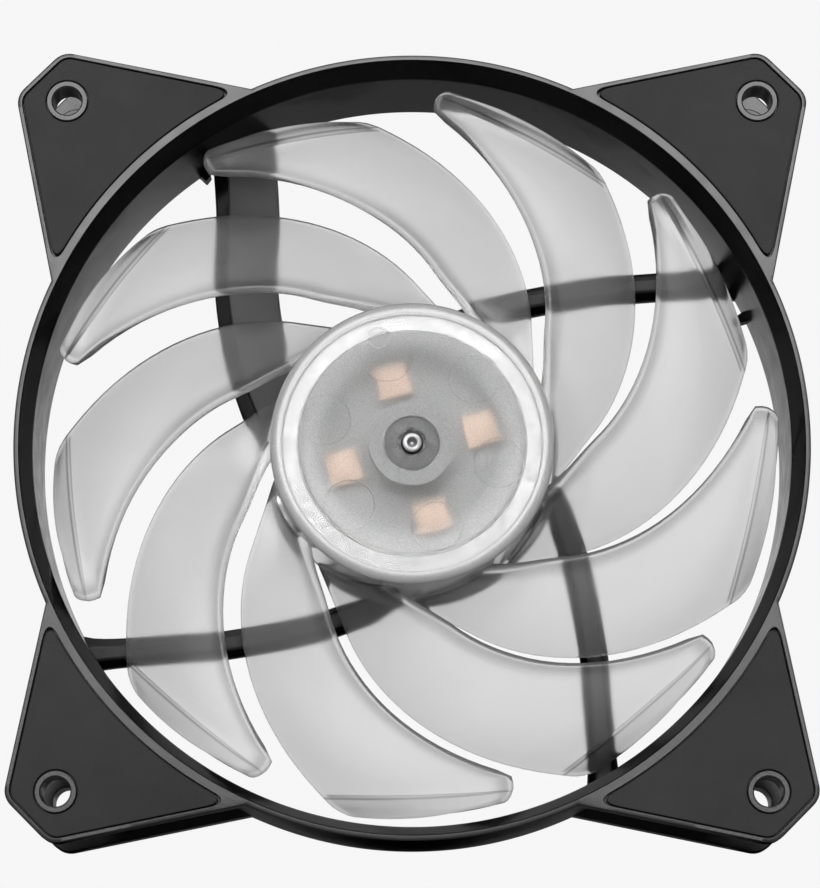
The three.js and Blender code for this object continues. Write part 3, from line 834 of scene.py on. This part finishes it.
def fold_line(chords):
    """The radius at which each line across the blade reaches the fold."""
    radii = []
    for chord in chords:
        low, high = 45.0, BLADE_TIP
        for _ in range(30):
            r = (low + high) / 2
            outside = past_fold(r, math.radians(float(blade_angle(np.array(r), chord)))) > 0
            if outside:
                high = r
            else:
                low = r
        radii.append(min(r, BLADE_TIP - 0.5))
    return np.array(radii)


def blade_shape():
    """One blade as a closed skin, and how strongly each point carries painted shade along the edges and the
    fold.
    """
    chord_in = 0.024
    chords = chord_in + (1 - 2 * chord_in) * np.concatenate([
        [0, 0.012, 0.028, 0.048, 0.075], np.linspace(0.11, 0.95, 19), [0.975, 1]
    ])
    crease = fold_line(chords)
    shares = np.concatenate([[0], np.linspace(0.02, 0.9, 24) ** 1.02, [0.94, 0.97, 0.992, 1]])
    inner = BLADE_ROOT + (crease - BLADE_ROOT) * shares[:, None]
    end = BLADE_TIP - 0.02
    outer_shares = np.array([0.08, 0.3, 0.5, 0.7, 0.86, 0.95, 1])
    outer = crease + (end - crease) * outer_shares[:, None]
    radii = np.concatenate([inner, outer])
    squeeze = np.concatenate([np.ones(len(shares) + 4), [0.86, 0.62, 0.3]])
    grid = np.broadcast_to(chords, radii.shape)
    step = 0.01
    middle_points = blade_surface(radii, grid)
    out = blade_surface(radii + step, grid) - blade_surface(radii - step, grid)
    back = blade_surface(radii, grid + step) - blade_surface(radii, grid - step)
    normals = np.cross(back, out)
    normals /= np.linalg.norm(normals, axis=-1)[..., None]
    tangent = back / np.linalg.norm(back, axis=-1)[..., None]
    # Thinner towards the trailing edge, with a fillet at the hub
    thick = 0.9 + 0.75 * (1 - grid) * np.sqrt(np.minimum(1, grid * 6 + 0.35))
    flare = np.clip((24.5 - radii) / 3.5, 0, 1)
    half = (thick / 2 + 0.5 * flare ** 2) * squeeze[:, None]
    front = middle_points + normals * half[..., None]
    rear = middle_points - normals * half[..., None]
    turn = np.radians(np.array([30, 60, 90, 120, 150]))
    arc_count = len(turn)

    def edge(column, way):
        """The round edge of the skin, as an arc for each row."""
        centre = middle_points[:, column][:, None]
        n = normals[:, column][:, None]
        t = tangent[:, column][:, None] * way
        h = half[:, column][:, None, None]
        return centre + h * (np.cos(turn)[:, None] * n + np.sin(turn)[:, None] * t)

    trailing = edge(-1, 1)
    leading = edge(0, -1)[:, ::-1]
    loops = np.concatenate([front, trailing, rear[:, ::-1], leading], axis=1)
    length = np.linalg.norm(middle_points[:, -1] - middle_points[:, 0], axis=1)[:, None]
    # Painted shade: darkest at the fold, then along the leading edge, beyond the fold and along the trailing
    # edge
    near = np.exp(-((grid * length - 1.1) / 1.8) ** 2)
    near = np.maximum(near, 0.15 * np.exp(-(((1 - grid) * length - 0.5) / 0.7) ** 2))
    near[len(shares):] = np.maximum(near[len(shares):], 0.35)
    near[len(shares) - 1] = 1.8
    arcs = np.zeros((len(radii), arc_count))
    near = np.concatenate([near, arcs, near[:, ::-1], arcs], axis=1)
    rows, columns = near.shape
    faces = grid_faces(rows, columns)
    for first in (0, (rows - 1) * columns):
        faces += end_faces(first, len(chords), arc_count)
    return loops.reshape(-1, 3), faces, near.reshape(-1)


def end_faces(first, count, arc_count):
    """Faces over one end of the skin: a strip between its two sides and a fan at each round edge."""
    faces = []
    rear_last = 2 * count + arc_count - 1
    for k in range(count - 1):
        faces.append((first + k, first + k + 1, first + rear_last - 1 - k, first + rear_last - k))
    for a, b, arc in ((count - 1, count + arc_count, count), (rear_last, 0, rear_last + 1)):
        faces.append((first + a, *[first + arc + k for k in range(arc_count)], first + b))
    return faces


def build_blades(material):
    """All nine blades as one mesh, which carries the painted shade of the edges and the fold as an
    attribute.
    """
    shape, shape_faces, near = blade_shape()
    parts = [(moved(shape, 360 / BLADES * i), shape_faces) for i in range(BLADES)]
    points, faces = joined(parts)
    mesh = bpy.data.meshes.new("blades")
    mesh.from_pydata([tuple(p) for p in upright(points)], [], faces)
    mesh.materials.append(material)
    # Painted shade along the blade edges and the fold, one value per point
    attribute = mesh.attributes.new("painted_edge_shade", "FLOAT", "POINT")
    attribute.data.foreach_set("value", np.tile(near, BLADES).astype(np.float32))
    bm = bmesh.new()
    bm.from_mesh(mesh)
    bmesh.ops.recalc_face_normals(bm, faces=bm.faces)
    bm.to_mesh(mesh)
    bm.free()
    smooth(mesh, 60)
    made = bpy.data.objects.new("blades", mesh)
    bpy.context.scene.collection.objects.link(made)
    settle(made, "rotor", ["impeller"])


def build_hub(material):
    """The cup of the impeller, with a dished middle round the end of the shaft."""
    size = 1.3
    rim = [(HUB_RADIUS - size + size * math.cos(a), HUB_FRONT - size + size * math.sin(a))
           for a in np.linspace(0, math.pi / 2, 9)]
    profile = [(HUB_INNER, HUB_REAR + 0.2), (HUB_INNER + 0.2, HUB_REAR), (HUB_RADIUS - 0.25, HUB_REAR)]
    profile += [(HUB_RADIUS, HUB_REAR + 0.25)] + rim
    profile += [
        (6.9, HUB_FRONT), (6.5, HUB_FRONT - 0.03), (5.5, HUB_FRONT - 0.2), (5.1, HUB_FRONT - 0.22),
        (2.45, HUB_FRONT - 0.22), (2.2, HUB_FRONT - 0.3), (2.1, HUB_FRONT - 0.5), (2.1, HUB_INSIDE),
        (HUB_INNER - 0.6, HUB_INSIDE), (HUB_INNER, HUB_INSIDE - 0.6),
    ]
    points, faces = turned(profile, 192)
    made = piece("hub_cup", points, faces, [material], "rotor", ["impeller"])
    finish_hard(made, 40)


def build_hub_boss(material):
    """The thick collar round the bushing, behind the hub face."""
    high = HUB_INSIDE - 0.02
    profile = rounded([
        (4.2, 5), (5.3, 5), (5.4, high - 1.2), (6.5, high - 0.25), (6.5, high), (4.2, high),
    ], 0.12, 3)
    points, faces = turned(profile, 96)
    made = piece("hub_boss", points, faces, [material], "rotor", ["impeller"])
    finish_hard(made, 40)


def build_hub_marks(material):
    """Shallow round marks that the mould leaves on the hub face, and the gate mark."""
    parts = [mark_ring(MARK_REACH, angle, MARK_RADIUS, 0.14, 0.09) for angle in MARK_ANGLES]
    parts.append(mark_ring(GATE_REACH, GATE_ANGLE, GATE_RADIUS, 0.18, 0.14))
    points, faces = joined(parts)
    made = piece("hub_marks", points, faces, [material], "rotor", ["impeller"])
    smooth(made.data, 80)


def mark_ring(reach, angle, radius, half_width, height):
    """A low round bead on the hub face."""
    section = [(radius - half_width, HUB_FRONT - 0.02), (radius + half_width, HUB_FRONT - 0.02),
               (radius + half_width * 0.6, HUB_FRONT + height * 0.8), (radius, HUB_FRONT + height),
               (radius - half_width * 0.6, HUB_FRONT + height * 0.8)]
    points, faces = turned(section, 72)
    return moved(points, angle, x=reach), faces


def blade_material():
    """Frosted see-through plastic, with painted shade along the edges and the fold and where the surface
    turns away from view.
    """
    s = Shader("blade_frost")
    near = s.add("ShaderNodeAttribute", _attribute_name="painted_edge_shade").outputs["Fac"]
    # Painted shade: the colour darkens along the edges and the fold, from the mesh attribute, and where the
    # surface turns away from view
    painted_slant_shade = s.spread(s.add("ShaderNodeLayerWeight", Blend=0.5).outputs["Facing"], 0, 0.2, 0.18, 0.28)
    edge = s.calc("MULTIPLY_ADD", near, 0.42, painted_slant_shade)
    cloud = s.spread(s.noise(55.0, 3.0), 0, 0.05)
    tone = s.colours(s.calc("ADD", edge, cloud), (0.79, 0.79, 0.79), (0.10, 0.10, 0.10))
    gloss = s.spread(s.noise(260.0, 1.0), 0.22, 0.27)
    normal = s.bumped(s.noise(320.0, 1.0), 0.000004)
    s.principled(Base_Color=tone, Roughness=gloss, Normal=normal, Transmission_Weight=0.92, IOR=1.16,
                 Coat_Weight=0.4, Coat_Roughness=0.3, Coat_IOR=1.4)
    return s.material


def hub_material():
    """Frosted over the hub face, clear and glossy over the bright ring, and milky at the rim, with painted
    shade darkening the rim and painted light over the ring's shadow on the face.
    """
    s = Shader("hub_frost")
    flat = s.add("ShaderNodeVectorMath", _operation="MULTIPLY", i0=s.coords, i1=(1, 0, 1)).outputs[0]
    reach = s.add("ShaderNodeVectorMath", _operation="LENGTH", i0=flat).outputs["Value"]
    # Distances from the axis are in metres here, like the object's own space
    ring_start, ring_end = (RING_INNER - 0.5) * MM, RING_INNER * MM
    frosted = s.spread(reach, 1, 0, ring_start, ring_end)
    speckle = s.noise(4200.0, 4.0)
    # Painted shade: the colour darkens at the outer rim
    rim = s.spread(reach, 0, 0.7, 0.0202, 0.0208)
    tone = s.colours(s.calc("ADD", s.spread(speckle, 0, 1), rim), (0.94, 0.94, 0.94), (0.60, 0.60, 0.60))
    rough = s.calc("MULTIPLY_ADD", frosted, 0.36, 0.1)
    normal = s.bumped(s.calc("MULTIPLY", speckle, frosted), 0.00004)
    # Painted light: the face is made less see-through just inside the bright ring, which lightens it over
    # the ring's shadow
    painted_shadow_lift = s.calc("MULTIPLY", s.spread(reach, 0, 0.2, 0.0128, 0.0158), frosted)
    clear = s.calc("SUBTRACT", s.spread(reach, 0.95, 0.6, 0.0194, 0.0199), painted_shadow_lift)
    coat = s.spread(reach, 0, 0.8, ring_start, ring_end)
    s.principled(Base_Color=tone, Roughness=rough, Normal=normal, Transmission_Weight=clear, IOR=1.18,
                 Coat_Weight=coat, Coat_Roughness=0.2, Coat_IOR=1.4)
    return s.material


def boss_material():
    s = Shader("boss_frost")
    tone = s.colours(s.spread(s.noise(1800.0, 4.0), 0, 1), (0.64, 0.64, 0.64), (0.56, 0.56, 0.56))
    gloss = s.spread(s.noise(900.0), 0.4, 0.5)
    normal = s.bumped(s.noise(1500.0), 0.00003)
    s.principled(Base_Color=tone, Roughness=gloss, Normal=normal, Transmission_Weight=0.4, IOR=1.3)
    return s.material


BLADE = blade_material()
HUB = hub_material()
BOSS = boss_material()

build_shell()
build_bosses()
build_struts()
build_teeth()
build_base()
build_pads()
build_blades(BLADE)
build_hub(HUB)
build_hub_boss(BOSS)
build_hub_marks(HUB)


# Motor and shaft ------------------------------------------------------------


STEEL = metal("bright_steel", (0.80, 0.81, 0.82), (0.70, 0.71, 0.72), 0.22)
YOKE_STEEL = metal("yoke_steel", (0.30, 0.30, 0.30), (0.22, 0.22, 0.22), 0.45)
BRASS = metal("bearing_brass", (0.42, 0.34, 0.19), (0.34, 0.27, 0.15), 0.34)
IRON = metal("bushing_metal", (0.09, 0.09, 0.09), (0.07, 0.07, 0.07), 0.5)
PIN = metal("pin_steel", (0.34, 0.34, 0.345), (0.28, 0.28, 0.285), 0.5)
BRONZE = metal("bearing_bronze", (0.32, 0.2, 0.11), (0.24, 0.15, 0.08), 0.5)
LAMINATE = metal("lamination_steel", (0.38, 0.39, 0.41), (0.28, 0.29, 0.31), 0.42, 1800.0, (0.2, 6, 0.2))
COPPER = metal("coil_wire", (0.50, 0.20, 0.07), (0.38, 0.13, 0.04), 0.33, 2200.0, (1, 5, 1))
MAGNET = plastic("magnet", grey(0.02), grey(0.03), 0.65, 1800.0, 0.00004)
INSULATOR = plastic("insulator_plastic", (0.70, 0.68, 0.62), (0.76, 0.74, 0.68), 0.5, 1500.0, 0.00002)
BOARD = plastic("board", (0.36, 0.365, 0.36), (0.50, 0.505, 0.50), 0.5, 1700.0, 0.00003)
CHIP = plastic("chip", grey(0.01), grey(0.016), 0.45, 1500.0, 0.00002)
LIGHT = plastic("light", (0.97, 0.67, 0.50), (1.0, 0.73, 0.57), 0.35, 1500.0, 0.00002)
LABEL = plastic("label", grey(0.05), grey(0.062), 0.5, 900.0, 0.00002)

PLAIN = {
    "bearing_tube": BRASS, "sleeve_bearing": BRONZE, "thrust_pad": INSULATOR, "stator_core": LAMINATE,
    "front_insulator": INSULATOR, "rear_insulator": INSULATOR, "driver_board": BOARD,
    "rotation_sensor": CHIP, "led_board": BOARD, "magnet_ring": MAGNET, "oil_slinger": INSULATOR,
    "retaining_clip": STEEL, **{f"coil_{i}": COPPER for i in range(1, 5)},
}


def dress(node, material):
    """Gives a CAD node that stays in view its material."""
    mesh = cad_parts[node].data
    for i in range(len(mesh.materials)):
        mesh.materials[i] = material


def build_label():
    low, high = rear_of("rear_label"), front_of("rear_label")
    radius = radius_of("rear_label")
    profile = [(AXIS, low), (radius - 0.08, low), (radius, low + 0.08), (radius, high), (AXIS, high)]
    points, faces = turned(profile, 144)
    made = piece("blank_label", points, faces, [LABEL], "body", ["rear_label"])
    finish_hard(made)


def build_shaft():
    r = radius_of("shaft")
    low, high = rear_of("shaft"), front_of("shaft")
    groove = r - 0.35
    groove_low, groove_high = -8.45, -7.95
    profile = [
        (AXIS, low), (r - 0.25, low), (r - 0.06, low + 0.06), (r, low + 0.25), (r, groove_low),
        (groove, groove_low), (groove, groove_high), (r, groove_high), (r, high - 0.3),
        (r - 0.08, high - 0.09), (r - 0.28, high),
        (0.78, high), (0.7, high - 0.05), (0.4, high - 0.3), (0.2, high - 0.42), (AXIS, high - 0.45),
    ]
    points, faces = turned(profile, 72)
    made = piece("shaft_pin", points, faces, [PIN], "rotor", ["shaft"])
    finish_hard(made, 40)


def build_bushing():
    outer = radius_of("shaft_bushing")
    low, high = rear_of("shaft_bushing"), front_of("shaft_bushing")
    inner = radius_of("shaft") + 0.05
    profile = rounded([
        (inner, low), (outer, low), (outer, high), (inner + 0.12, high), (inner, high - 0.12),
    ], 0.05, 3)
    points, faces = turned(profile, 96)
    made = piece("bushing", points, faces, [IRON], "rotor", ["shaft_bushing"])
    finish_hard(made, 40)


def build_yoke():
    """The bright ring of the motor, with its lip turned inwards behind the hub face."""
    outer = radius_of("yoke_ring")
    low, high = rear_of("yoke_ring"), front_of("yoke_ring")
    wall = outer - 0.9
    lip = RING_INNER + 0.1
    profile = rounded([
        (outer, low, 0.1), (outer, high, 0.5), (lip, high, 0.2), (lip, high - 0.8, 0.2),
        (wall, high - 0.8, 0.1), (wall, low, 0.1),
    ], 0.2, 5)
    points, faces = turned(profile, 192)
    made = piece("yoke", points, faces, [YOKE_STEEL], "rotor", ["yoke_ring"])
    finish_hard(made, 40)


def build_lights():
    """Four light packages: a pale body with a shallow domed window."""
    for i in range(1, 5):
        low, high = size_mm(f"led_{i}")
        middle = (low + high) / 2
        angle = math.degrees(math.atan2(middle.z, middle.x))
        outline = rounded([(-2.5, -2.5), (2.5, -2.5), (2.5, 2.5), (-2.5, 2.5)], 0.25, 3)
        base, top = -high.y, -low.y
        body_shape = layered(outline, [(0, base), (0, top - 0.25), (0.1, top - 0.14), (0.2, top - 0.1)])
        window = turned([
            (AXIS, top - 0.3), (2.0, top - 0.3), (2.0, top - 0.04), (1.9, top), (AXIS, top),
        ], 48)
        points, faces = joined([body_shape, window])
        reach = math.hypot(middle.x, middle.z)
        made = piece(f"light_{i}", moved(points, angle, x=reach), faces, [LIGHT], "body",
                     [f"led_{i}"])
        finish_hard(made)


for plain_node, plain_material in PLAIN.items():
    dress(plain_node, plain_material)
build_label()
build_shaft()
build_bushing()
build_yoke()
build_lights()


# Stage ----------------------------------------------------------------------


CAMERA_PLACE = (0, -0.5515, -0.0972)
CAMERA_AIM = (-0.00032, 0, 0.00168)
LENS = 148.4
BACKDROP = 0.925
LAMPS = {  # place and size in metres, and power in watts
    "key": ((0.0, -1.36, 0.52), (1.3, 0.8), 30),
    "top": ((0.0, 0.1, 1.3), (1.2, 0.8), 8),
    "back_left": ((-1.0, 0.55, 0.6), (0.7, 0.9), 6),
    "back_right": ((1.0, 0.55, 0.6), (0.7, 0.9), 6),
}


def build_camera():
    data = bpy.data.cameras.new("camera")
    data.lens = LENS
    data.sensor_width = 36
    data.clip_start = 0.01
    camera = bpy.data.objects.new("camera", data)
    bpy.context.scene.collection.objects.link(camera)
    camera.location = CAMERA_PLACE
    camera.rotation_euler = (Vector(CAMERA_AIM) - camera.location).to_track_quat("-Z", "Y").to_euler()
    bpy.context.scene.camera = camera


def build_world():
    """An even pale backdrop where it is seen; a dim room, bright behind the part, in reflections."""
    world = bpy.data.worlds.new("studio")
    tree = Tree(world, "ShaderNodeOutputWorld")
    direction = tree.add("ShaderNodeTexCoord").outputs["Generated"]
    ahead = tree.add("ShaderNodeSeparateXYZ", i0=direction).outputs["Y"]
    room = tree.spread(ahead, 0.02, 0.9, 0.962, 0.986)
    path = tree.add("ShaderNodeLightPath").outputs
    sight = tree.calc("MAXIMUM", path["Is Camera Ray"], path["Is Transmission Ray"])
    straight = tree.calc("LESS_THAN", tree.calc("ADD", path["Glossy Depth"], path["Diffuse Depth"]), 0.5)
    seen = tree.calc("MULTIPLY", sight, straight)
    unseen = tree.add("ShaderNodeMix", i0=path["Is Transmission Ray"], i2=room, i3=0.5).outputs[0]
    level = tree.add("ShaderNodeMix", i0=seen, i2=unseen, i3=BACKDROP).outputs[0]
    tree.finish(tree.add("ShaderNodeBackground", Color=(1, 1, 1, 1), Strength=level))
    bpy.context.scene.world = world


def softbox(name, location, size, power):
    """A rectangular lamp that faces the part."""
    data = bpy.data.lights.new(name, "AREA")
    data.shape = "RECTANGLE"
    data.size, data.size_y = size
    data.energy = power
    light = bpy.data.objects.new(name, data)
    bpy.context.scene.collection.objects.link(light)
    light.location = location
    light.rotation_euler = (-Vector(location)).to_track_quat("-Z", "Y").to_euler()


def build_floor():
    """A pale floor that is only seen from above."""
    s = Shader("floor")
    tone = s.colours(s.spread(s.noise(6.0), 0, 1), (0.86, 0.86, 0.86), (0.9, 0.9, 0.9))
    paint = s.add("ShaderNodeBsdfPrincipled", Base_Color=tone, Roughness=0.8).outputs[0]
    # Painted dark reflection: glossy rays see the floor as dark grey, not pale
    dark = s.add("ShaderNodeBsdfDiffuse", Color=(0.14, 0.14, 0.14, 1)).outputs[0]
    clear = s.add("ShaderNodeBsdfTransparent").outputs[0]
    glossy_ray = s.add("ShaderNodeLightPath").outputs["Is Glossy Ray"]
    from_below = s.add("ShaderNodeNewGeometry").outputs["Backfacing"]
    top = s.add("ShaderNodeMixShader", i0=glossy_ray, i1=paint, i2=dark).outputs[0]
    s.finish(s.add("ShaderNodeMixShader", i0=from_below, i1=top, i2=clear))
    size = 1500
    corners = ((-1, 1), (1, 1), (1, -1), (-1, -1))
    points = [(x * size, -HALF_WIDTH, z * size) for x, z in corners]
    mesh = bpy.data.meshes.new("floor")
    mesh.from_pydata([tuple(p) for p in upright(points)], [], [(0, 1, 2, 3)])
    mesh.materials.append(s.material)
    floor = bpy.data.objects.new("floor", mesh)
    bpy.context.scene.collection.objects.link(floor)


build_camera()
build_world()
build_floor()
for lamp_name, (lamp_place, lamp_size, lamp_power) in LAMPS.items():
    softbox(lamp_name, lamp_place, lamp_size, lamp_power)
bpy.context.scene.view_settings.view_transform = "Standard"
